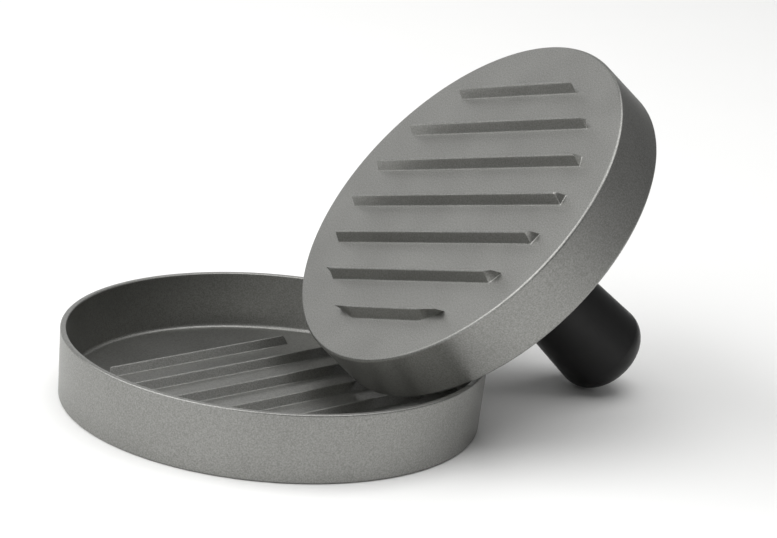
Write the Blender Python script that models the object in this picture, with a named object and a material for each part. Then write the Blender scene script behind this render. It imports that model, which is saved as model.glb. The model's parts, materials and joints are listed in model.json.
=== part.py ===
"""Patty press: a ribbed dish and the ribbed plunger that leans in it.

Metres, +Z up. The origin is the centre of the dish's underside, on the table.
The plunger leans towards +X: its lower edge is inside the dish, its back edge
rests on the rim, and the end of its grip rests on the table.
"""

import math

import bmesh
import bpy

# ---- dish, a casting with a slightly tapered wall ----
DISH_RIM_RADIUS = 0.0625      # outside, at the rim
DISH_BASE_RADIUS = 0.0618     # outside, at the table
DISH_HEIGHT = 0.0205
DISH_WALL = 0.00175           # thickness of the rim
DISH_INNER_DRAFT = 0.0004     # how much narrower the cavity is at the floor
DISH_FLOOR = 0.0029           # thickness of the floor
DISH_FLOOR_FILLET = 0.0013
DISH_BASE_FILLET = 0.0008
RIM_FILLET = 0.0005

# ---- press plate, an open-backed casting with a boss ----
# Depths run from the pressing face, 0, towards the grip.
FACE_RADIUS = 0.0592          # at the pressing face
BACK_RADIUS = 0.0595          # at the open back
PLATE_DEPTH = 0.0180
PLATE_SKIN = 0.0036           # thickness behind the pressing face
SKIRT_WALL = 0.0032           # thickness of the rim round the open back
FACE_FILLET = 0.0008
BACK_FILLET = 0.0012
SKIRT_INNER_FILLET = 0.0030
BOSS_RADIUS = 0.0120
BOSS_DRAFT = 0.0008
BOSS_FILLET = 0.0020
BOSS_DEPTH = 0.0128           # the boss's seat, counted from the pressing face
WEB_COUNT = 6                 # radial webs between the boss and the skirt
WEB_THICKNESS = 0.0024
WEB_HEIGHT = 0.0036
WEB_SLOPE = 0.0004            # how much thinner each side is at the web's top
WEB_INTO_BOSS = 0.0020        # how far a web reaches into the boss
WEB_INTO_SKIRT = 0.0010       # how far a web reaches into the skirt

# ---- ribs that score the patty, on the dish's floor and the pressing face ----
RIB_PITCH = 0.01395
RIB_CREST_HALF_WIDTH = 0.0003
RIB_END_RADIUS = 0.0468       # circle on which the ribs' feet end
RIB_CREST_END_RADIUS = 0.0462
DISH_RIB_COUNT = 6
DISH_RIB_HEIGHT = 0.0024
DISH_RIB_HALF_WIDTH = 0.0022
DISH_RIB_TURN = math.radians(17.3)      # from +X
PLATE_RIB_COUNT = 7
PLATE_RIB_HEIGHT = 0.0034
PLATE_RIB_HALF_WIDTH = 0.0018
PLATE_RIB_SHIFT = -0.0006     # how far uphill of the centre the middle rib lies
PLATE_RIB_TURN = math.radians(68.0)     # from the plunger's downhill direction
RELIEF_ROOT = 0.0010          # how far a rib or a web reaches into its casting

# ---- M6 stud, washer, insert and grip, on the plunger's axis ----
FIT_GAP = 0.0003              # between pieces that touch
STUD_RADIUS = 0.0030
STUD_START = 0.0061
STUD_END = 0.0290
STUD_CHAMFER = 0.0005
WASHER_RADIUS = 0.0090
WASHER_THICKNESS = 0.0016
INSERT_RADIUS = 0.0050
INSERT_LENGTH = 0.0160
GRIP_ROOT_RADIUS = 0.0108
GRIP_END_RADIUS = 0.0142
GRIP_END_FILLET = 0.0078
GRIP_ROOT_CHAMFER = 0.0006
GRIP_END = 0.0812             # the grip's free end, counted from the pressing face

# ---- how the plunger leans ----
LEAN = math.radians(48.3)     # the pressing face's normal, from straight up
FACE_CENTRE = (0.0542, 0.0, 0.0616)

# ---- how finely round shapes are divided ----
CASTING_SIDES = 80            # round the dish and the press plate
GRIP_SIDES = 48
WASHER_SIDES = 40
SMALL_SIDES = 24              # round the stud and the insert
LIP_STEPS = 1                 # in the smallest roundings of the plate's back
EDGE_STEPS = 2                # in a rounded edge or a small fillet
BACK_STEPS = 3                # in the plate's larger roundings
FLOOR_STEPS = 4               # in the fillet round the dish's floor
GRIP_STEPS = 6                # in the grip's rounded end
SMOOTH_ANGLE = math.radians(35)
MERGE = 1e-6

# ---- finishes: colour, metallic value and roughness ----
CAST_GREY = ((0.30, 0.30, 0.29), 0.9, 0.42)
ZINC = ((0.62, 0.62, 0.60), 1.0, 0.30)
STAINLESS = ((0.58, 0.57, 0.55), 1.0, 0.28)
BRASS = ((0.75, 0.52, 0.20), 1.0, 0.30)
BLACK_PLASTIC = ((0.012, 0.012, 0.012), 0.0, 0.38)


def clear_scene():
    for obj in list(bpy.data.objects):
        bpy.data.objects.remove(obj, do_unlink=True)


def material(name, colour, metallic, roughness):
    mat = bpy.data.materials.new(name)
    mat.use_nodes = True
    shader = mat.node_tree.nodes["Principled BSDF"]
    shader.inputs["Base Color"].default_value = (*colour, 1.0)
    shader.inputs["Metallic"].default_value = metallic
    shader.inputs["Roughness"].default_value = roughness
    return mat


def arc(centre, radius, start, end, steps):
    """Points of an arc in the profile plane, in degrees from +X."""
    points = []
    for i in range(steps + 1):
        angle = math.radians(start + (end - start) * i / steps)
        points.append((centre[0] + radius * math.cos(angle), centre[1] + radius * math.sin(angle)))
    return points


def to_object(bm, name, mat=None, parent=None):
    bmesh.ops.remove_doubles(bm, verts=bm.verts, dist=MERGE)
    bmesh.ops.recalc_face_normals(bm, faces=bm.faces)
    mesh = bpy.data.meshes.new(name)
    bm.to_mesh(mesh)
    bm.free()
    mesh.shade_smooth()
    mesh.set_sharp_from_angle(angle=SMOOTH_ANGLE)
    obj = bpy.data.objects.new(name, mesh)
    bpy.context.scene.collection.objects.link(obj)
    obj.parent = parent
    if mat:
        mesh.materials.append(mat)
    return obj


def turned(name, profile, segments, mat, parent=None, ring=False):
    """Turn (radius, height) points about Z. A ring's profile closes on itself."""
    bm = bmesh.new()
    verts = [bm.verts.new((r, 0.0, z)) for r, z in profile]
    edges = [bm.edges.new(pair) for pair in zip(verts, verts[1:])]
    if ring:
        edges.append(bm.edges.new((verts[-1], verts[0])))
    bmesh.ops.spin(bm, geom=verts + edges, cent=(0, 0, 0), axis=(0, 0, 1),
                   angle=2 * math.pi, steps=segments, use_merge=True)
    return to_object(bm, name, mat, parent)


def add_rib(bm, offset, turn, height, half_width, base, up):
    """A narrow-crested bar across the disc, whose ends lie on a circle.

    base is the height of its foot and up is +1 or -1, the way it stands.
    """
    corners = bmesh.ops.create_cube(bm, size=2.0)["verts"]
    sink = RELIEF_ROOT / height
    half_foot = half_width + (half_width - RIB_CREST_HALF_WIDTH) * sink
    end_foot = RIB_END_RADIUS + (RIB_END_RADIUS - RIB_CREST_END_RADIUS) * sink
    for vert in corners:
        along, across, level = (math.copysign(1.0, c) for c in vert.co)
        crest = level > 0
        y = offset + across * (RIB_CREST_HALF_WIDTH if crest else half_foot)
        reach = RIB_CREST_END_RADIUS if crest else end_foot
        x = along * math.sqrt(reach * reach - y * y)
        z = base + up * (height if crest else -RELIEF_ROOT)
        vert.co = (x * math.cos(turn) - y * math.sin(turn), x * math.sin(turn) + y * math.cos(turn), z)


def add_ribs(bm, count, shift, turn, height, half_width, base, up):
    for i in range(count):
        offset = shift + (i - (count - 1) / 2) * RIB_PITCH
        add_rib(bm, offset, turn, height, half_width, base, up)


def add_webs(bm):
    """Radial webs on the floor of the press plate's open back."""
    inner = BOSS_RADIUS - WEB_INTO_BOSS
    outer = BACK_RADIUS - SKIRT_WALL + WEB_INTO_SKIRT
    for i in range(WEB_COUNT):
        turn = 2 * math.pi * (i + 0.5) / WEB_COUNT
        corners = bmesh.ops.create_cube(bm, size=2.0)["verts"]
        for vert in corners:
            radius = outer if vert.co.x > 0 else inner
            top = vert.co.z > 0
            side = WEB_THICKNESS / 2 - (WEB_SLOPE if top else 0.0)
            y = math.copysign(side, vert.co.y)
            z = PLATE_SKIN + (WEB_HEIGHT if top else -RELIEF_ROOT)
            vert.co = (radius * math.cos(turn) - y * math.sin(turn),
                       radius * math.sin(turn) + y * math.cos(turn), z)


def join_relief(casting, relief):
    """Cast the relief's ribs and webs onto a body."""
    relief.hide_render = True
    relief.display_type = "WIRE"
    union = casting.modifiers.new("relief", "BOOLEAN")
    union.operation = "UNION"
    union.solver = "EXACT"
    union.object = relief


def make_dish():
    rim_inner = DISH_RIM_RADIUS - DISH_WALL
    floor_inner = rim_inner - DISH_INNER_DRAFT
    top = DISH_HEIGHT - RIM_FILLET
    profile = [(0.0, 0.0)]
    profile += arc((DISH_BASE_RADIUS - DISH_BASE_FILLET, DISH_BASE_FILLET), DISH_BASE_FILLET,
                   -90, 0, EDGE_STEPS)
    profile += arc((DISH_RIM_RADIUS - RIM_FILLET, top), RIM_FILLET, 0, 90, EDGE_STEPS)
    profile += arc((rim_inner + RIM_FILLET, top), RIM_FILLET, 90, 180, EDGE_STEPS)
    profile += arc((floor_inner - DISH_FLOOR_FILLET, DISH_FLOOR + DISH_FLOOR_FILLET),
                   DISH_FLOOR_FILLET, 0, -90, FLOOR_STEPS)
    profile += [(0.0, DISH_FLOOR)]
    dish = turned("dish", profile, CASTING_SIDES, material("cast_grey", *CAST_GREY))
    bm = bmesh.new()
    add_ribs(bm, DISH_RIB_COUNT, 0.0, DISH_RIB_TURN, DISH_RIB_HEIGHT, DISH_RIB_HALF_WIDTH, DISH_FLOOR, 1)
    join_relief(dish, to_object(bm, "dish_relief"))


def make_press_plate(axis):
    skirt_inner = BACK_RADIUS - SKIRT_WALL
    bore = STUD_RADIUS + FIT_GAP
    lip = PLATE_DEPTH - RIM_FILLET
    boss_base = BOSS_RADIUS + BOSS_DRAFT
    profile = [(0.0, 0.0)]
    profile += arc((FACE_RADIUS - FACE_FILLET, FACE_FILLET), FACE_FILLET, -90, 0, EDGE_STEPS)
    profile += arc((BACK_RADIUS - BACK_FILLET, PLATE_DEPTH - BACK_FILLET), BACK_FILLET,
                   0, 90, BACK_STEPS)
    profile += arc((skirt_inner + RIM_FILLET, lip), RIM_FILLET, 90, 180, LIP_STEPS)
    profile += arc((skirt_inner - SKIRT_INNER_FILLET, PLATE_SKIN + SKIRT_INNER_FILLET),
                   SKIRT_INNER_FILLET, 0, -90, BACK_STEPS)
    profile += arc((boss_base + BOSS_FILLET, PLATE_SKIN + BOSS_FILLET), BOSS_FILLET,
                   270, 180, EDGE_STEPS)
    profile += arc((BOSS_RADIUS - RIM_FILLET, BOSS_DEPTH - RIM_FILLET), RIM_FILLET,
                   0, 90, LIP_STEPS)
    profile += [(bore, BOSS_DEPTH), (bore, STUD_START - FIT_GAP), (0.0, STUD_START - FIT_GAP)]
    plate = turned("press_plate", profile, CASTING_SIDES, material("cast_grey_plate", *CAST_GREY), axis)
    bm = bmesh.new()
    add_ribs(bm, PLATE_RIB_COUNT, PLATE_RIB_SHIFT, PLATE_RIB_TURN, PLATE_RIB_HEIGHT, PLATE_RIB_HALF_WIDTH,
             0.0, -1)
    add_webs(bm)
    join_relief(plate, to_object(bm, "plate_relief", parent=axis))


def make_fixings(axis):
    """Stud, washer and threaded insert. Their threads are left plain."""
    tip = STUD_RADIUS - STUD_CHAMFER
    stud = [(0.0, STUD_START), (tip, STUD_START), (STUD_RADIUS, STUD_START + STUD_CHAMFER),
            (STUD_RADIUS, STUD_END - STUD_CHAMFER), (tip, STUD_END), (0.0, STUD_END)]
    turned("stud", stud, SMALL_SIDES, material("zinc_plated_steel", *ZINC), axis)

    bore = STUD_RADIUS + FIT_GAP
    low = BOSS_DEPTH + FIT_GAP
    washer = [(bore, low), (WASHER_RADIUS, low), (WASHER_RADIUS, low + WASHER_THICKNESS),
              (bore, low + WASHER_THICKNESS)]
    turned("washer", washer, WASHER_SIDES, material("stainless_steel", *STAINLESS), axis, ring=True)

    low = grip_root() + FIT_GAP
    insert = [(bore, low), (INSERT_RADIUS, low), (INSERT_RADIUS, low + INSERT_LENGTH),
              (bore, low + INSERT_LENGTH)]
    turned("grip_insert", insert, SMALL_SIDES, material("brass", *BRASS), axis, ring=True)


def grip_root():
    """Depth of the grip's lower face, which sits on the washer."""
    return BOSS_DEPTH + 2 * FIT_GAP + WASHER_THICKNESS


def make_grip(axis):
    root = grip_root()
    pocket = INSERT_RADIUS + FIT_GAP
    pocket_end = root + 2 * FIT_GAP + INSERT_LENGTH
    profile = [(0.0, pocket_end), (pocket, pocket_end), (pocket, root),
               (GRIP_ROOT_RADIUS - GRIP_ROOT_CHAMFER, root),
               (GRIP_ROOT_RADIUS, root + GRIP_ROOT_CHAMFER)]
    profile += arc((GRIP_END_RADIUS - GRIP_END_FILLET, GRIP_END - GRIP_END_FILLET),
                   GRIP_END_FILLET, 0, 90, GRIP_STEPS)
    profile += [(0.0, GRIP_END)]
    turned("grip", profile, GRIP_SIDES, material("black_plastic", *BLACK_PLASTIC), axis)


def main():
    clear_scene()
    axis = bpy.data.objects.new("plunger_axis", None)
    axis.location = FACE_CENTRE
    axis.rotation_euler = (0.0, math.pi - LEAN, 0.0)
    bpy.context.scene.collection.objects.link(axis)
    make_dish()
    make_press_plate(axis)
    make_fixings(axis)
    make_grip(axis)


main()
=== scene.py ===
"""Looks of a patty press: a ribbed dish, and the ribbed plunger that leans in it.

Metres, +Z up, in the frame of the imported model. The dish stands on the floor. The
plunger is a press plate, a stud, a washer and a grip, on one axis that leans towards +X.
"""

import json
import math

import bmesh
import bpy
from bpy.props import FloatProperty, FloatVectorProperty, IntProperty, PointerProperty
from mathutils import Matrix, Vector


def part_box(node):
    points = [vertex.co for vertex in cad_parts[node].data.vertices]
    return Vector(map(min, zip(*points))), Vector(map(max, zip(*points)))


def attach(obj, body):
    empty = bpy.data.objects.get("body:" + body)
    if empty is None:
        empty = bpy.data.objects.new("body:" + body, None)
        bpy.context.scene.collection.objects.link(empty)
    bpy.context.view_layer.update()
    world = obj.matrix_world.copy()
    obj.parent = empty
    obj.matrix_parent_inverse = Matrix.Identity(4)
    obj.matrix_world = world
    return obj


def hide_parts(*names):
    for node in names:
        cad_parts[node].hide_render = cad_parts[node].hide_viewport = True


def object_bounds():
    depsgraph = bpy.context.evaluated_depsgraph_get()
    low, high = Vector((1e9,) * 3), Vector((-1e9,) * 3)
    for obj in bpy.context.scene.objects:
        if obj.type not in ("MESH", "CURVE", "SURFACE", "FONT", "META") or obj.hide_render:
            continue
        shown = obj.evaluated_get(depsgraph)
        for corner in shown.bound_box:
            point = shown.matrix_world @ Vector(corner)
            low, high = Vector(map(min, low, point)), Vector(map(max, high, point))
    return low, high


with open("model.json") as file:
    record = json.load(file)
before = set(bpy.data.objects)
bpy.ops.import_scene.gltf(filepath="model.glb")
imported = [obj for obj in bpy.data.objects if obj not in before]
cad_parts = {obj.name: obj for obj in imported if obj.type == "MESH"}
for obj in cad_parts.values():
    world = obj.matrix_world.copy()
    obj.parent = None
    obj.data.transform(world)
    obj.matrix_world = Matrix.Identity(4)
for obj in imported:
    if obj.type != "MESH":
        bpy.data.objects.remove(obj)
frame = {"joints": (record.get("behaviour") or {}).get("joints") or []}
CAD_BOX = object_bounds()

bl_info = {
    "name": "Patty press",
    "version": (1, 0, 0),
    "blender": (4, 5, 0),
    "location": "3D View > Sidebar > Patty press",
    "description": "Builds the detailed pieces of a two-part patty press",
    "category": "Object",
}

MM = 0.001
TURN_STEPS = 256              # steps round a turned casting
GRIP_STEPS = 192              # steps round the grip
FINE_TURN_STEPS = 96          # steps round the small turned pieces
THREAD_STEPS = 40             # steps in one turn of the thread
GRIP_ARC_STEPS = 14           # steps in the grip's large rounding
CORNER_STEPS = 3              # steps in the small roundings of a rib or a washer
RELIEF_ROOT = 0.6 * MM        # how far a rib or a web reaches into its casting
FLAT_MARGIN = 3 * MM          # flat floor left round the circle on which the ribs end
WEB_INTO_BOSS = 2 * MM        # how far a web reaches into the boss
WEB_INTO_SKIRT = 1 * MM       # how far a web reaches into the skirt
SENSOR_WIDTH = 36.0           # millimetres
FLOOR_RADIUS = 6.0
FLOOR_SIDES = 64
WAVE_RATE = 20                # radians that a wave texture of scale 1 turns in one unit
AIM_HEIGHT = 0.03             # the height above the table that the lights point at
MERGE = 1e-6
FILL_ANY = 0                  # holes_fill: a hole with any number of sides
SHARP_EDGE = math.radians(58)

# The plunger's own axes, taken from the joint that unscrews its plate: Z runs from the
# pressing face towards the grip, X is downhill along the face and Y is level.
TURN_JOINT = next(joint for joint in frame["joints"] if joint["name"] == "plate_turn")
TOWARDS_GRIP = -Vector(TURN_JOINT["axis"]).normalized()
LEVEL = Vector((0.0, 1.0, 0.0))
PLUNGER = Matrix((LEVEL.cross(TOWARDS_GRIP), LEVEL, TOWARDS_GRIP)).transposed().to_4x4()
PLUNGER.translation = Vector(TURN_JOINT["pos_m"])
UPRIGHT = Matrix.Identity(4)

# One pitch of the thread: (share of the pitch, share of the thread's depth).
THREAD_SECTION = ((0.0, 0.0), (0.25, 0.0), (0.56, 1.0), (0.69, 1.0))

# Soft lights, in degrees from +X and above the table, then metres.
LIGHTS = (
    # name, azimuth, elevation, distance, width, height
    ("left_light", 178, 42, 1.5, 2.6, 1.1),
    ("top_light", 0, 82, 1.5, 1.3, 1.3),
    ("back_light", 75, 14, 1.6, 1.8, 0.75),
    ("right_light", 315, 14, 1.6, 1.2, 0.75),
)

DISH_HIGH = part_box("dish")[1]


def linear(hex_colour):
    """A colour written as sRGB hex, as the linear values that shaders take."""
    parts = [int(hex_colour[i:i + 2], 16) / 255 for i in (0, 2, 4)]
    return tuple(c / 12.92 if c <= 0.04045 else ((c + 0.055) / 1.055) ** 2.4 for c in parts)


def length(name, description, default_mm):
    return FloatProperty(name=name, description=description, default=default_mm * MM,
                         min=0.0, subtype="DISTANCE", unit="LENGTH", precision=5)


def angle(name, description, default_degrees):
    return FloatProperty(name=name, description=description, default=math.radians(default_degrees),
                         subtype="ANGLE", unit="ROTATION")


def colour(name, description, hex_colour):
    return FloatVectorProperty(name=name, description=description, default=linear(hex_colour),
                               size=3, min=0.0, max=1.0, subtype="COLOR")


# ---------------------------------------------------------------- settings

class DishSettings(bpy.types.PropertyGroup):
    rim_radius: length("Rim radius", "Outside radius at the rim", DISH_HIGH.x / MM)
    base_radius: length("Base radius", "Outside radius at the table", 61.8)
    height: length("Height", "Height of the rim above the table", DISH_HIGH.z / MM)
    wall: length("Wall", "Thickness of the rim", 1.75)
    draft: length("Draft", "How much narrower the cavity is at its floor", 0.4)
    floor: length("Floor", "Thickness of the floor", 2.9)
    floor_fillet: length("Floor fillet", "Radius where the wall meets the floor", 1.3)
    rim_rounding: length("Rim rounding", "Radius of the rim's two edges", 0.5)
    base_rounding: length("Base rounding", "Radius of the lower outside edge", 0.8)


class RibSettings(bpy.types.PropertyGroup):
    pitch: length("Pitch", "From one rib's crest to the next", 13.95)
    dish_height: length("Dish rib height", "Height of a crest above the dish's floor", 2.4)
    dish_half_foot: length("Dish rib half foot", "Half the width of a rib on the dish's floor", 2.2)
    plate_height: length("Plate rib height", "Height of a crest above the pressing face", 3.4)
    plate_half_foot: length("Plate rib half foot", "Half the width of a rib on the pressing face", 1.8)
    plate_shift: FloatProperty(name="Plate rib shift", description="How far uphill of the centre the middle "
                               "rib of the pressing face lies", default=-0.6 * MM, subtype="DISTANCE",
                               unit="LENGTH", precision=5)
    half_crest: length("Half crest", "Half the width of a rib's crest before rounding", 0.3)
    foot_fillet: length("Foot fillet", "Radius between a rib and the floor", 0.4)
    crest_rounding: length("Crest rounding", "Radius of the crest's two edges", 0.5)
    corner_rounding: length("Corner rounding", "Radius of the four upright corners", 0.3)
    end_rounding: length("End rounding", "Radius at the two ends of a crest", 0.9)
    end_radius: length("End radius", "Circle on which the ribs' feet end", 46.8)
    crest_end_radius: length("Crest end radius", "Circle on which the ribs' crests end", 46.2)
    dish_count: IntProperty(name="Dish ribs", description="Ribs on the dish's floor", default=6, min=1)
    dish_turn: angle("Dish rib direction", "From +X", 17.3)
    plate_count: IntProperty(name="Plate ribs", description="Ribs on the pressing face", default=7, min=1)
    plate_turn: angle("Plate rib direction", "From the plunger's downhill direction", 68.0)


class PlateSettings(bpy.types.PropertyGroup):
    face_radius: length("Face radius", "Radius at the pressing face", 59.2)
    back_radius: length("Back radius", "Radius at the open back", 59.5)
    depth: length("Depth", "From the pressing face to the open back", 18.0)
    skin: length("Skin", "Thickness behind the pressing face", 3.6)
    skirt_wall: length("Skirt wall", "Thickness of the rim round the open back", 3.2)
    face_rounding: length("Face rounding", "Radius round the pressing face", 0.8)
    back_rounding: length("Back rounding", "Radius of the outside edge of the open back", 1.2)
    skirt_fillet: length("Skirt fillet", "Radius between the skirt and the skin", 3.0)
    boss_radius: length("Boss radius", "Radius of the boss at its seat", 12.0)
    boss_draft: length("Boss draft", "How much wider the boss is at its foot", 0.8)
    boss_fillet: length("Boss fillet", "Radius between the boss and the skin", 2.0)
    boss_depth: length("Boss depth", "From the pressing face to the boss's seat", 12.8)
    web_count: IntProperty(name="Webs", description="Radial webs round the boss", default=6, min=3)
    web_half_foot: length("Web half foot", "Half the thickness of a web at its foot", 1.2)
    web_half_top: length("Web half top", "Half the thickness of a web at its top", 0.8)
    web_height: length("Web height", "Height of a web above the skin", 3.6)
    web_fillet: length("Web fillet", "Radius between a web and the skin", 0.8)
    web_rounding: length("Web rounding", "Radius of a web's two upper edges", 0.4)
    lip_rounding: length("Lip rounding", "Radius of the skirt's inner edge and the boss's edge", 0.5)
    bore_rounding: length("Bore rounding", "Radius of the edge where the stud goes in", 0.25)


class FixingSettings(bpy.types.PropertyGroup):
    gap: length("Gap", "Room between pieces that touch", 0.3)
    stud_radius: length("Stud radius", "Radius over the thread's crests", 3.0)
    stud_start: length("Stud start", "From the pressing face to the stud's hidden end", 6.1)
    stud_end: length("Stud end", "From the pressing face to the end in the grip", 29.0)
    stud_chamfer: length("Stud chamfer", "Chamfer on both ends of the stud", 0.5)
    thread_pitch: length("Thread pitch", "From one thread crest to the next", 1.0)
    thread_depth: length("Thread depth", "Depth of the thread", 0.61)
    washer_radius: length("Washer radius", "Outside radius of the washer", 9.0)
    washer_thickness: length("Washer thickness", "Thickness of the washer", 1.6)
    insert_radius: length("Insert radius", "Outside radius of the threaded insert", 5.0)
    insert_length: length("Insert length", "Length of the threaded insert", 16.0)
    knurl_depth: length("Knurl depth", "Depth of the knurl on the insert", 0.22)
    neck_depth: length("Neck depth", "How far the insert's plain neck lies below its knurl", 0.6)
    neck_length: length("Neck length", "Length of the neck between the two knurled bands", 2.0)
    neck_slope: length("Neck slope", "Length of the slope at each end of the neck", 0.4)
    bore_rounding: length("Bore rounding", "Radius of the edges of the holes", 0.25)
    pressed_rounding: length("Pressed rounding", "Radius of the washer's edge on its drawn-in side", 0.4)
    sheared_rounding: length("Sheared rounding", "Radius of the washer's outer sharp edge", 0.15)
    sheared_bore: length("Sheared bore", "Radius of the washer's sharp edge at its hole", 0.12)
    band_rounding: length("Band rounding", "Radius of the end edges of the insert", 0.3)
    neck_rounding: length("Neck rounding", "Radius where a knurled band meets the neck", 0.2)


class GripSettings(bpy.types.PropertyGroup):
    root_radius: length("Root radius", "Radius at the washer", 10.8)
    root_rounding: length("Root rounding", "Radius of the edge at the washer", 0.7)
    end_radius: length("End radius", "Largest radius, near the free end", 14.2)
    end_rounding: length("End rounding", "Radius of the free end's edge", 7.8)
    end: length("End", "From the pressing face to the free end", 81.2)
    pocket_rounding: length("Pocket rounding", "Radius of the edge round the insert's pocket", 0.3)


class FinishSettings(bpy.types.PropertyGroup):
    casting: colour("Casting", "Grey coating on the cast aluminium", "9D9D9A")
    casting_dark: colour("Casting, dark", "Darker grains and clouds of the coating", "848481")
    plastic: colour("Grip", "Black moulded plastic", "080808")
    plastic_dark: colour("Grip, dark", "Darker grains of the plastic", "050505")
    zinc: colour("Stud", "Zinc-plated steel", "CFD0CC")
    steel: colour("Washer", "Stainless steel", "C9C7C3")
    brass: colour("Insert", "Turned brass", "DDBE74")
    floor: colour("Floor", "Pale studio floor", "F4F4F3")


class StageSettings(bpy.types.PropertyGroup):
    camera_place: FloatVectorProperty(
        name="Camera place", description="Where the camera stands", size=3, subtype="TRANSLATION",
        unit="LENGTH", precision=5, default=(-0.297822, -0.683068, 0.276203))
    camera_azimuth: angle("Camera azimuth", "Turn about the vertical", -25.93)
    camera_elevation: angle("Camera elevation", "How far the camera looks down", 17.235)
    camera_roll: angle("Camera roll", "Turn about the line of sight", 5.99)
    lens: FloatProperty(name="Lens", description="Focal length in millimetres on a 36 mm sensor",
                        default=124.75, subtype="DISTANCE_CAMERA")
    sky_strength: FloatProperty(name="Sky", description="Strength of the even white surroundings",
                                default=0.2, min=0.0)
    left_light: FloatProperty(name="Left light", description="Power of the wide light above the left side",
                              default=27.0, min=0.0, subtype="POWER", unit="POWER")
    top_light: FloatProperty(name="Top light", description="Power of the light overhead",
                             default=14.0, min=0.0, subtype="POWER", unit="POWER")
    back_light: FloatProperty(name="Back light", description="Power of the low light behind",
                              default=4.0, min=0.0, subtype="POWER", unit="POWER")
    right_light: FloatProperty(name="Right light", description="Power of the low light at the front right",
                               default=0.6, min=0.0, subtype="POWER", unit="POWER")


class PressSettings(bpy.types.PropertyGroup):
    dish: PointerProperty(type=DishSettings, name="Dish")
    ribs: PointerProperty(type=RibSettings, name="Ribs")
    plate: PointerProperty(type=PlateSettings, name="Press plate")
    fixings: PointerProperty(type=FixingSettings, name="Stud, washer and insert")
    grip: PointerProperty(type=GripSettings, name="Grip")
    finish: PointerProperty(type=FinishSettings, name="Finishes")
    stage: PointerProperty(type=StageSettings, name="Stage")


# ---------------------------------------------------------------- mesh tools

def rounded_chain(bm, corners, arc_steps, ring=False):
    """Edges through corners, each (radius, height, rounding), with the corners rounded off."""
    verts = [bm.verts.new((radius, 0.0, height)) for radius, height, rounding in corners]
    pairs = list(zip(verts, verts[1:])) + ([(verts[-1], verts[0])] if ring else [])
    for pair in pairs:
        bm.edges.new(pair)
    places = [vert.co.copy() for vert in verts]
    for i, (vert, corner) in enumerate(zip(verts, corners)):
        if corner[2] > 0.0:
            arriving = places[i] - places[i - 1]
            leaving = places[(i + 1) % len(places)] - places[i]
            setback = corner[2] * math.tan(arriving.angle(leaving) / 2)
            bmesh.ops.bevel(bm, geom=[vert], offset=setback, offset_type="OFFSET", affect="VERTICES",
                            segments=arc_steps, profile=0.5, material=-1, clamp_overlap=False)
    bmesh.ops.remove_doubles(bm, verts=bm.verts, dist=MERGE)


def tidy(bm):
    """Merge doubles, close what is open and turn every face outwards."""
    bmesh.ops.remove_doubles(bm, verts=bm.verts, dist=MERGE)
    open_edges = [edge for edge in bm.edges if edge.is_boundary]
    if open_edges:
        bmesh.ops.holes_fill(bm, edges=open_edges, sides=FILL_ANY)
    bmesh.ops.recalc_face_normals(bm, faces=bm.faces)


def turned(corners, steps=TURN_STEPS, arc_steps=5, ring=False):
    """A body turned about Z. A profile that stops short of the axis gets a flat end there."""
    bm = bmesh.new()
    rounded_chain(bm, corners, arc_steps, ring)
    bmesh.ops.spin(bm, geom=bm.verts[:] + bm.edges[:], cent=(0.0, 0.0, 0.0), axis=(0.0, 0.0, 1.0),
                   angle=2 * math.pi, steps=steps, use_merge=True)
    tidy(bm)
    return bm


def section_levels(half_foot, half_top, height, foot_fillet, top_rounding, arc_steps=4, flank_steps=5):
    """(height, half width) up one side of a bar's section, from its spread foot to its crest."""
    bm = bmesh.new()
    rounded_chain(bm, [(half_foot * 2, 0.0, 0.0), (half_foot, 0.0, foot_fillet),
                       (half_top, height, top_rounding), (0.0, height, 0.0)], arc_steps)
    vert = max(bm.verts, key=lambda v: v.co.x)
    chain, edge = [vert.co.copy()], None
    while len(chain) < len(bm.verts):
        edge = next(e for e in vert.link_edges if e is not edge)
        vert = edge.other_vert(vert)
        chain.append(vert.co.copy())
    bm.free()
    chain = chain[1:-1]
    flank = max(range(len(chain) - 1), key=lambda i: (chain[i + 1] - chain[i]).length)
    middle = [chain[flank].lerp(chain[flank + 1], i / flank_steps) for i in range(1, flank_steps)]
    chain[flank + 1:flank + 1] = middle
    return [(point.z, point.x) for point in chain]


def raise_bar(bm, offset, levels):
    """Extrude the mesh's only face level by level, each (height, half width, half length)."""
    face = bm.faces[:][0]
    start = Matrix.Translation((0.0, -offset, 0.0))
    for (low, wide, long), (high, narrow, short) in zip(levels, levels[1:]):
        grown = bmesh.ops.extrude_face_region(bm, geom=[face])["geom"]
        if low > levels[0][0]:
            bmesh.ops.delete(bm, geom=[face], context="FACES_ONLY")
        face = next(item for item in grown if isinstance(item, bmesh.types.BMFace))
        bmesh.ops.scale(bm, vec=(short / long, narrow / wide, 1.0), verts=face.verts, space=start)
        bmesh.ops.translate(bm, vec=(0.0, 0.0, high - low), verts=face.verts)
    bmesh.ops.recalc_face_normals(bm, faces=bm.faces)


def gather(parts):
    """Several meshes in one, freed as they are taken."""
    whole = bmesh.new()
    for part in parts:
        mesh = bpy.data.meshes.new("part")
        part.to_mesh(mesh)
        part.free()
        whole.from_mesh(mesh)
        bpy.data.meshes.remove(mesh)
    return whole


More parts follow.
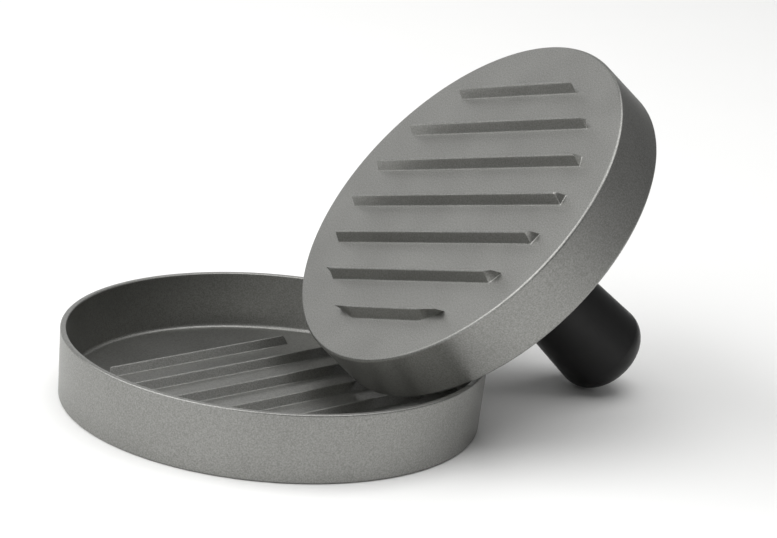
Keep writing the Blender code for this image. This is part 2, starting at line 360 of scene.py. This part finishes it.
def combine(base, tool, operation):
    """An exact Boolean of two meshes, as a new one."""
    objects = []
    for name, bm in (("base", base), ("tool", tool)):
        mesh = bpy.data.meshes.new(name)
        bm.to_mesh(mesh)
        bm.free()
        obj = bpy.data.objects.new(name, mesh)
        bpy.context.scene.collection.objects.link(obj)
        objects.append(obj)
    modifier = objects[0].modifiers.new("combine", "BOOLEAN")
    modifier.operation = operation
    modifier.solver = "EXACT"
    modifier.object = objects[1]
    done = bmesh.new()
    done.from_object(objects[0], bpy.context.evaluated_depsgraph_get())
    for obj in objects:
        mesh = obj.data
        bpy.data.objects.remove(obj)
        bpy.data.meshes.remove(mesh)
    bmesh.ops.remove_doubles(done, verts=done.verts, dist=MERGE)
    if any(not edge.is_manifold for edge in done.edges):
        raise RuntimeError("a casting is not closed")
    bmesh.ops.recalc_face_normals(done, faces=done.faces)
    return done


def rib_set(ribs, count, shift, turn, rib_height, half_foot, base, up):
    """Parallel ribs on a round floor, whose ends lie on a circle.

    shift moves them all sideways, base is their floor's height and up is +1 or -1.
    """
    section = section_levels(half_foot, ribs.half_crest, rib_height, ribs.foot_fillet,
                             ribs.crest_rounding)
    lean = (half_foot - ribs.half_crest) / rib_height
    end_lean = (ribs.end_radius - ribs.crest_end_radius) / rib_height
    bend_start = rib_height - ribs.end_rounding
    levels = []
    for height, half_width in section:
        spread = max(0.0, half_width - (half_foot - lean * height))
        above = max(0.0, height - bend_start)
        drop = ribs.end_rounding - math.sqrt(ribs.end_rounding ** 2 - min(above, ribs.end_rounding) ** 2)
        levels.append((height, half_width, ribs.end_radius - end_lean * height + spread - drop))
    levels.insert(0, (-RELIEF_ROOT, *levels[0][1:]))
    parts = []
    for i in range(count):
        offset = shift + (i - (count - 1) / 2) * ribs.pitch
        bm = bmesh.new()
        bmesh.ops.create_circle(bm, cap_ends=True, segments=TURN_STEPS, radius=levels[0][2])
        for side in (1.0, -1.0):
            everything = bm.verts[:] + bm.edges[:] + bm.faces[:]
            bmesh.ops.bisect_plane(bm, geom=everything, plane_co=(0.0, offset + side * levels[0][1], 0.0),
                                   plane_no=(0.0, side, 0.0), clear_outer=True)
        corners = [v for v in bm.verts if abs(abs(v.co.y - offset) - levels[0][1]) < MERGE]
        bmesh.ops.bevel(bm, geom=corners, offset=ribs.corner_rounding, offset_type="OFFSET",
                        affect="VERTICES", segments=CORNER_STEPS, profile=0.5, material=-1,
                        clamp_overlap=True)
        bmesh.ops.translate(bm, vec=(0.0, 0.0, -RELIEF_ROOT), verts=bm.verts)
        raise_bar(bm, offset, levels)
        parts.append(bm)
    whole = gather(parts)
    place = Matrix.Translation((0.0, 0.0, base)) @ Matrix.Rotation(turn, 4, "Z")
    bmesh.ops.transform(whole, matrix=place @ Matrix.Diagonal((1.0, 1.0, up, 1.0)), verts=whole.verts)
    bmesh.ops.recalc_face_normals(whole, faces=whole.faces)
    return whole


def web_set(plate):
    """Low radial webs between the boss and the skirt, on the back of the press plate."""
    inner = plate.boss_radius - WEB_INTO_BOSS
    outer = plate.back_radius - plate.skirt_wall + WEB_INTO_SKIRT
    half_length = (outer - inner) / 2
    section = section_levels(plate.web_half_foot, plate.web_half_top, plate.web_height,
                             plate.web_fillet, plate.web_rounding)
    levels = [(height, half_width, half_length) for height, half_width in section]
    levels.insert(0, (-RELIEF_ROOT, *levels[0][1:]))
    parts = []
    for i in range(plate.web_count):
        bm = bmesh.new()
        bmesh.ops.create_grid(bm, x_segments=1, y_segments=1, size=1.0)
        bmesh.ops.scale(bm, vec=(half_length, levels[0][1], 1.0), verts=bm.verts)
        bmesh.ops.translate(bm, vec=(0.0, 0.0, -RELIEF_ROOT), verts=bm.verts)
        raise_bar(bm, 0.0, levels)
        turn = Matrix.Rotation(2 * math.pi * (i + 0.5) / plate.web_count, 4, "Z")
        shift = Matrix.Translation(((inner + outer) / 2, 0.0, plate.skin))
        bmesh.ops.transform(bm, matrix=turn @ shift, verts=bm.verts)
        parts.append(bm)
    return gather(parts)


def finish_piece(bm, name, material, body, node, place=UPRIGHT):
    """Turn a mesh into a piece that stands for a CAD node. Its place goes into its mesh."""
    bmesh.ops.transform(bm, matrix=place, verts=bm.verts)
    if not bm.faces:
        raise RuntimeError(f"{name} has no faces")
    mesh = bpy.data.meshes.new(name)
    bm.to_mesh(mesh)
    bm.free()
    mesh.shade_smooth()
    mesh.set_sharp_from_angle(angle=SHARP_EDGE)
    mesh.materials.append(material)
    piece = bpy.data.objects.new(name, mesh)
    bpy.context.scene.collection.objects.link(piece)
    evened = piece.modifiers.new("even shading on the flats", "WEIGHTED_NORMAL")
    evened.keep_sharp = True
    evened.weight = 100
    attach(piece, body)
    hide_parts(node)
    return piece


# ---------------------------------------------------------------- finishes

def add_node(tree, kind, links=None, **settings):
    """Add a node. links gives each input a value, or the output that feeds it."""
    node = tree.nodes.new(kind)
    for name, value in settings.items():
        setattr(node, name, value)
    for name, value in (links or {}).items():
        if isinstance(value, bpy.types.NodeSocket):
            tree.links.new(value, node.inputs[name])
        else:
            node.inputs[name].default_value = value
    return node


def new_material(name, place):
    """A material with its shader, and coordinates along the piece's own axes."""
    material = bpy.data.materials.new(name)
    material.use_nodes = True
    tree = material.node_tree
    own = add_node(tree, "ShaderNodeMapping", {
        "Vector": add_node(tree, "ShaderNodeTexCoord").outputs["Object"],
        "Location": place.translation, "Rotation": place.to_euler()}, vector_type="TEXTURE")
    return material, tree, tree.nodes["Principled BSDF"], own.outputs["Vector"]


def rgba(rgb):
    return (*rgb, 1.0)


def coated_casting(place):
    """Cast aluminium, blasted and sprayed with a grey metallic release coating.

    The eye gets a satin grey with a fine grain, very faint slow clouds where the coat
    is thicker, and a slightly pebbled skin that keeps reflections soft.
    """
    finish = bpy.context.scene.patty_press.finish
    material, tree, shader, own = new_material("grey coated cast aluminium", place)
    # Flakes are about 0.05 mm across. They are drawn 0.45 mm apart, so that they show.
    flakes = add_node(tree, "ShaderNodeTexNoise", {"Vector": own, "Scale": 1 / (0.45 * MM), "Detail": 2.0,
                                                   "Roughness": 0.7})
    pebbles = add_node(tree, "ShaderNodeTexNoise", {"Vector": own, "Scale": 1 / (1.1 * MM), "Detail": 2.0,
                                                    "Roughness": 0.6})
    clouds = add_node(tree, "ShaderNodeTexNoise", {"Vector": own, "Scale": 1 / (16 * MM), "Detail": 3.0,
                                                   "Roughness": 0.5})
    mottle = add_node(tree, "ShaderNodeMath", {0: clouds.outputs["Fac"], 1: 0.15, 2: flakes.outputs["Fac"]},
                      operation="MULTIPLY_ADD")
    spread = add_node(tree, "ShaderNodeMapRange", {"Value": mottle.outputs[0], "From Min": 0.42,
                                                   "From Max": 0.72})
    tone = add_node(tree, "ShaderNodeMix", {0: spread.outputs[0], 6: rgba(finish.casting_dark),
                                            7: rgba(finish.casting)}, data_type="RGBA")
    tree.links.new(tone.outputs[2], shader.inputs["Base Color"])
    shader.inputs["Metallic"].default_value = 1.0
    rough = add_node(tree, "ShaderNodeMapRange", {"Value": clouds.outputs["Fac"], "From Min": 0.3,
                                                  "From Max": 0.7, "To Min": 0.42, "To Max": 0.45})
    tree.links.new(rough.outputs[0], shader.inputs["Roughness"])
    skin = add_node(tree, "ShaderNodeMath", {0: pebbles.outputs["Fac"], 1: 0.6, 2: flakes.outputs["Fac"]},
                    operation="MULTIPLY_ADD")
    bump = add_node(tree, "ShaderNodeBump", {"Strength": 0.35, "Distance": 0.03 * MM,
                                             "Height": skin.outputs[0]})
    tree.links.new(bump.outputs[0], shader.inputs["Normal"])
    return material


def moulded_plastic(place):
    """Thermoset plastic pressed in a polished steel mould.

    The eye gets a near-black satin with a soft sheen along the round side, and a
    very faint orange-peel skin.
    """
    finish = bpy.context.scene.patty_press.finish
    material, tree, shader, own = new_material("black moulded thermoset", place)
    grain = add_node(tree, "ShaderNodeTexNoise", {"Vector": own, "Scale": 1 / (0.7 * MM), "Detail": 2.0,
                                                  "Roughness": 0.6})
    peel = add_node(tree, "ShaderNodeTexNoise", {"Vector": own, "Scale": 1 / (3.5 * MM), "Detail": 2.0})
    tone = add_node(tree, "ShaderNodeMix", {0: grain.outputs["Fac"], 6: rgba(finish.plastic_dark),
                                            7: rgba(finish.plastic)}, data_type="RGBA")
    tree.links.new(tone.outputs[2], shader.inputs["Base Color"])
    rough = add_node(tree, "ShaderNodeMapRange", {"Value": peel.outputs["Fac"], "From Min": 0.3,
                                                  "From Max": 0.7, "To Min": 0.36, "To Max": 0.44})
    tree.links.new(rough.outputs[0], shader.inputs["Roughness"])
    shader.inputs["IOR"].default_value = 1.4
    bump = add_node(tree, "ShaderNodeBump", {"Strength": 0.2, "Distance": 0.03 * MM,
                                             "Height": grain.outputs["Fac"]})
    tree.links.new(bump.outputs[0], shader.inputs["Normal"])
    return material


def turned_metal(name, tint, low_rough, high_rough, groove_mm, place):
    """Bright metal with the fine rings a lathe or a punch leaves round its axis.

    The eye gets a clear metal shine, drawn out across the rings, with faint stains.
    The rings are drawn 2 pi times groove_mm apart, so coarser than real ones.
    """
    material, tree, shader, own = new_material(name, place)
    rings = add_node(tree, "ShaderNodeTexWave", {"Vector": own, "Scale": 1 / (groove_mm * MM) / WAVE_RATE,
                                                 "Distortion": 0.4, "Detail": 1.0},
                     wave_type="RINGS", rings_direction="Z")
    stains = add_node(tree, "ShaderNodeTexNoise", {"Vector": own, "Scale": 1 / (2.5 * MM), "Detail": 3.0})
    shade = add_node(tree, "ShaderNodeMapRange", {"Value": stains.outputs["Fac"], "From Min": 0.3,
                                                  "From Max": 0.7, "To Min": 0.82, "To Max": 1.0})
    tone = add_node(tree, "ShaderNodeVectorMath", {0: tint, "Scale": shade.outputs[0]}, operation="SCALE")
    tree.links.new(tone.outputs[0], shader.inputs["Base Color"])
    shader.inputs["Metallic"].default_value = 1.0
    rough = add_node(tree, "ShaderNodeMapRange", {"Value": stains.outputs["Fac"], "From Min": 0.3,
                                                  "From Max": 0.7, "To Min": low_rough, "To Max": high_rough})
    tree.links.new(rough.outputs[0], shader.inputs["Roughness"])
    bump = add_node(tree, "ShaderNodeBump", {"Strength": 0.3, "Distance": 0.02 * MM,
                                             "Height": rings.outputs["Fac"]})
    tree.links.new(bump.outputs[0], shader.inputs["Normal"])
    return material


def floor_paint():
    """Matt white studio board: the eye gets an even pale floor with a barely uneven coat."""
    finish = bpy.context.scene.patty_press.finish
    material, tree, shader, own = new_material("matt white board", UPRIGHT)
    coat = add_node(tree, "ShaderNodeTexNoise", {"Vector": own, "Scale": 1 / (60 * MM), "Detail": 2.0})
    shade = add_node(tree, "ShaderNodeMapRange", {"Value": coat.outputs["Fac"], "To Min": 0.985,
                                                  "To Max": 1.0})
    tone = add_node(tree, "ShaderNodeVectorMath", {0: tuple(finish.floor), "Scale": shade.outputs[0]},
                    operation="SCALE")
    tree.links.new(tone.outputs[0], shader.inputs["Base Color"])
    shader.inputs["Roughness"].default_value = 0.9
    return material


# ---------------------------------------------------------------- pieces

class PATTYPRESS_OT_dish(bpy.types.Operator):
    """Build the round dish with its ribbed floor"""
    bl_idname = "pattypress.dish"
    bl_label = "Dish"

    def execute(self, context):
        press = context.scene.patty_press
        dish, ribs = press.dish, press.ribs
        inner = dish.rim_radius - dish.wall
        flat = ribs.end_radius + FLAT_MARGIN
        casting = turned([
            (flat, 0.0, 0.0),
            (dish.base_radius, 0.0, dish.base_rounding),
            (dish.rim_radius, dish.height, dish.rim_rounding),
            (inner, dish.height, dish.rim_rounding),
            (inner - dish.draft, dish.floor, dish.floor_fillet),
            (flat, dish.floor, 0.0),
        ])
        relief = rib_set(ribs, ribs.dish_count, 0.0, ribs.dish_turn, ribs.dish_height, ribs.dish_half_foot,
                         dish.floor, 1.0)
        finish_piece(combine(casting, relief, "UNION"), "dish_casting", coated_casting(UPRIGHT),
                     "dish", "dish")
        return {"FINISHED"}


class PATTYPRESS_OT_press_plate(bpy.types.Operator):
    """Build the press plate: ribbed face, skirt, boss and webs"""
    bl_idname = "pattypress.press_plate"
    bl_label = "Press plate"

    def execute(self, context):
        press = context.scene.patty_press
        plate, ribs, fixings = press.plate, press.ribs, press.fixings
        skirt_inner = plate.back_radius - plate.skirt_wall
        bore = fixings.stud_radius + fixings.gap
        bore_end = fixings.stud_start - fixings.gap
        casting = turned([
            (ribs.end_radius + FLAT_MARGIN, 0.0, 0.0),
            (plate.face_radius, 0.0, plate.face_rounding),
            (plate.back_radius, plate.depth, plate.back_rounding),
            (skirt_inner, plate.depth, plate.lip_rounding),
            (skirt_inner, plate.skin, plate.skirt_fillet),
            (plate.boss_radius + plate.boss_draft, plate.skin, plate.boss_fillet),
            (plate.boss_radius, plate.boss_depth, plate.lip_rounding),
            (bore, plate.boss_depth, plate.bore_rounding),
            (bore, bore_end, 0.0),
        ])
        ribbing = rib_set(ribs, ribs.plate_count, ribs.plate_shift, ribs.plate_turn, ribs.plate_height,
                          ribs.plate_half_foot, 0.0, -1.0)
        relief = gather([ribbing, web_set(plate)])
        finish_piece(combine(casting, relief, "UNION"), "press_plate_casting", coated_casting(PLUNGER),
                     "plate", "press_plate", PLUNGER)
        return {"FINISHED"}


class PATTYPRESS_OT_fixings(bpy.types.Operator):
    """Build the threaded stud, the washer and the brass insert"""
    bl_idname = "pattypress.fixings"
    bl_label = "Stud, washer and insert"

    def execute(self, context):
        press = context.scene.patty_press
        fixings, finish = press.fixings, press.finish
        bore = fixings.stud_radius + fixings.gap
        finish_piece(threaded_stud(fixings), "stud_thread",
                     turned_metal("zinc-plated steel", tuple(finish.zinc), 0.26, 0.38, 0.2, PLUNGER),
                     "plate", "stud", PLUNGER)

        low = press.plate.boss_depth + fixings.gap
        high = low + fixings.washer_thickness
        washer = turned([(bore, low, fixings.sheared_bore),
                         (fixings.washer_radius, low, fixings.sheared_rounding),
                         (fixings.washer_radius, high, fixings.pressed_rounding),
                         (bore, high, fixings.bore_rounding)],
                        steps=FINE_TURN_STEPS, arc_steps=CORNER_STEPS, ring=True)
        finish_piece(washer, "washer_disc",
                     turned_metal("stamped stainless steel", tuple(finish.steel), 0.24, 0.34, 0.3, PLUNGER),
                     "washer", "washer", PLUNGER)

        low = high + 2 * fixings.gap
        finish_piece(knurled_insert(fixings, bore, low), "insert_sleeve",
                     turned_metal("turned brass", tuple(finish.brass), 0.26, 0.36, 0.25, PLUNGER),
                     "handle", "grip_insert", PLUNGER)
        return {"FINISHED"}


def threaded_stud(fixings):
    """A rod with a real helical thread, flat ends and chamfers."""
    pitch, crest = fixings.thread_pitch, fixings.stud_radius
    root = crest - fixings.thread_depth
    first = fixings.stud_start - 1.5 * pitch
    turns = int((fixings.stud_end - first) / pitch) + 2
    bm = bmesh.new()
    verts = []
    for i in range(turns):
        for share, rise in THREAD_SECTION:
            radius = root + rise * fixings.thread_depth
            verts.append(bm.verts.new((radius, 0.0, first + (i + share) * pitch)))
    for pair in zip(verts, verts[1:]):
        bm.edges.new(pair)
    bmesh.ops.spin(bm, geom=bm.verts[:] + bm.edges[:], cent=(0.0, 0.0, 0.0), axis=(0.0, 0.0, 1.0),
                   dvec=(0.0, 0.0, pitch / THREAD_STEPS), angle=2 * math.pi, steps=THREAD_STEPS,
                   use_merge=False)
    bmesh.ops.remove_doubles(bm, verts=bm.verts, dist=MERGE)
    for height, side in ((fixings.stud_start, -1.0), (fixings.stud_end, 1.0)):
        everything = bm.verts[:] + bm.edges[:] + bm.faces[:]
        bmesh.ops.bisect_plane(bm, geom=everything, plane_co=(0.0, 0.0, height),
                               plane_no=(0.0, 0.0, side), clear_outer=True)
    tidy(bm)
    for vert in bm.verts:
        from_end = min(vert.co.z - fixings.stud_start, fixings.stud_end - vert.co.z)
        limit = crest - fixings.stud_chamfer + from_end
        if vert.co.xy.length > limit:
            vert.co.xy *= limit / vert.co.xy.length
    return bm


def knurled_insert(fixings, bore, low):
    """A brass sleeve with two knurled bands and a plain neck between them."""
    high = low + fixings.insert_length
    wide = fixings.insert_radius
    neck = wide - fixings.neck_depth
    band = (fixings.insert_length - fixings.neck_length) / 2
    slope = fixings.neck_slope
    bm = turned([(bore, low, fixings.bore_rounding), (wide, low, fixings.band_rounding),
                 (wide, low + band, fixings.neck_rounding), (neck, low + band + slope, 0.0),
                 (neck, high - band - slope, 0.0), (wide, high - band, fixings.neck_rounding),
                 (wide, high, fixings.band_rounding), (bore, high, fixings.bore_rounding)],
                steps=FINE_TURN_STEPS, arc_steps=2, ring=True)
    step = 2 * math.pi / FINE_TURN_STEPS
    for vert in bm.verts:
        if vert.co.xy.length > wide - MERGE and round(math.atan2(vert.co.y, vert.co.x) / step) % 2:
            vert.co.xy *= (wide - fixings.knurl_depth) / wide
    return bm


class PATTYPRESS_OT_grip(bpy.types.Operator):
    """Build the moulded grip with the pocket for its insert"""
    bl_idname = "pattypress.grip"
    bl_label = "Grip"

    def execute(self, context):
        press = context.scene.patty_press
        grip, fixings = press.grip, press.fixings
        root = press.plate.boss_depth + 2 * fixings.gap + fixings.washer_thickness
        pocket = fixings.insert_radius + fixings.gap
        pocket_end = root + 2 * fixings.gap + fixings.insert_length
        shoulder = grip.end - grip.end_rounding
        body = turned([
            (0.0, pocket_end, 0.0),
            (pocket, pocket_end, 0.0),
            (pocket, root, grip.pocket_rounding),
            (grip.root_radius, root, grip.root_rounding),
            (grip.end_radius, shoulder, 0.0),
            (grip.end_radius, grip.end, grip.end_rounding),
            (0.0, grip.end, 0.0),
        ], steps=GRIP_STEPS, arc_steps=GRIP_ARC_STEPS)
        finish_piece(body, "grip_body", moulded_plastic(PLUNGER), "handle", "grip", PLUNGER)
        return {"FINISHED"}


class PATTYPRESS_OT_stage(bpy.types.Operator):
    """Lay the pale floor, set the soft lights and place the camera"""
    bl_idname = "pattypress.stage"
    bl_label = "Stage"

    def execute(self, context):
        scene = context.scene
        stage = scene.patty_press.stage
        bm = bmesh.new()
        bmesh.ops.create_circle(bm, cap_ends=True, segments=FLOOR_SIDES, radius=FLOOR_RADIUS)
        mesh = bpy.data.meshes.new("studio_floor")
        bm.to_mesh(mesh)
        bm.free()
        mesh.materials.append(floor_paint())
        floor = bpy.data.objects.new("studio_floor", mesh)
        scene.collection.objects.link(floor)

        world = bpy.data.worlds.new("even white surroundings")
        world.use_nodes = True
        sky = world.node_tree.nodes["Background"]
        sky.inputs["Color"].default_value = (1.0, 1.0, 1.0, 1.0)
        sky.inputs["Strength"].default_value = stage.sky_strength
        scene.world = world
        scene.view_settings.view_transform = "Standard"

        target = Vector(((CAD_BOX[0][0] + CAD_BOX[1][0]) / 2, 0.0, AIM_HEIGHT))
        for name, azimuth, elevation, distance, width, height in LIGHTS:
            light = bpy.data.lights.new(name, "AREA")
            light.energy = getattr(stage, name)
            light.shape = "RECTANGLE"
            light.size = width
            light.size_y = height
            lamp = bpy.data.objects.new(name, light)
            aim = (Matrix.Rotation(math.radians(azimuth), 3, "Z")
                   @ Matrix.Rotation(math.radians(-elevation), 3, "Y"))
            lamp.location = target + aim @ Vector((distance, 0.0, 0.0))
            lamp.rotation_euler = (target - lamp.location).to_track_quat("-Z", "Y").to_euler()
            scene.collection.objects.link(lamp)

        data = bpy.data.cameras.new("camera")
        data.sensor_fit = "HORIZONTAL"
        data.sensor_width = SENSOR_WIDTH
        data.lens = stage.lens
        data.clip_start = 0.01
        camera = bpy.data.objects.new("camera", data)
        camera.location = stage.camera_place
        turn = (Matrix.Rotation(stage.camera_azimuth, 3, "Z")
                @ Matrix.Rotation(math.pi / 2 - stage.camera_elevation, 3, "X")
                @ Matrix.Rotation(stage.camera_roll, 3, "Z"))
        camera.rotation_euler = turn.to_euler()
        scene.collection.objects.link(camera)
        scene.camera = camera
        return {"FINISHED"}


BUILDERS = (PATTYPRESS_OT_dish, PATTYPRESS_OT_press_plate, PATTYPRESS_OT_fixings, PATTYPRESS_OT_grip,
            PATTYPRESS_OT_stage)


class PATTYPRESS_PT_panel(bpy.types.Panel):
    """Lists the builders of the patty press"""
    bl_idname = "PATTYPRESS_PT_panel"
    bl_label = "Patty press"
    bl_space_type = "VIEW_3D"
    bl_region_type = "UI"
    bl_category = "Patty press"

    def draw(self, context):
        for builder in BUILDERS:
            self.layout.operator(builder.bl_idname)


CLASSES = (DishSettings, RibSettings, PlateSettings, FixingSettings, GripSettings, FinishSettings,
           StageSettings, PressSettings, *BUILDERS, PATTYPRESS_PT_panel)


def register():
    for cls in CLASSES:
        bpy.utils.register_class(cls)
    bpy.types.Scene.patty_press = PointerProperty(type=PressSettings)


def unregister():
    del bpy.types.Scene.patty_press
    for cls in reversed(CLASSES):
        bpy.utils.unregister_class(cls)


def main():
    register()
    bpy.ops.pattypress.dish()
    bpy.ops.pattypress.press_plate()
    bpy.ops.pattypress.fixings()
    bpy.ops.pattypress.grip()
    bpy.ops.pattypress.stage()


if __name__ == "__main__":
    main()
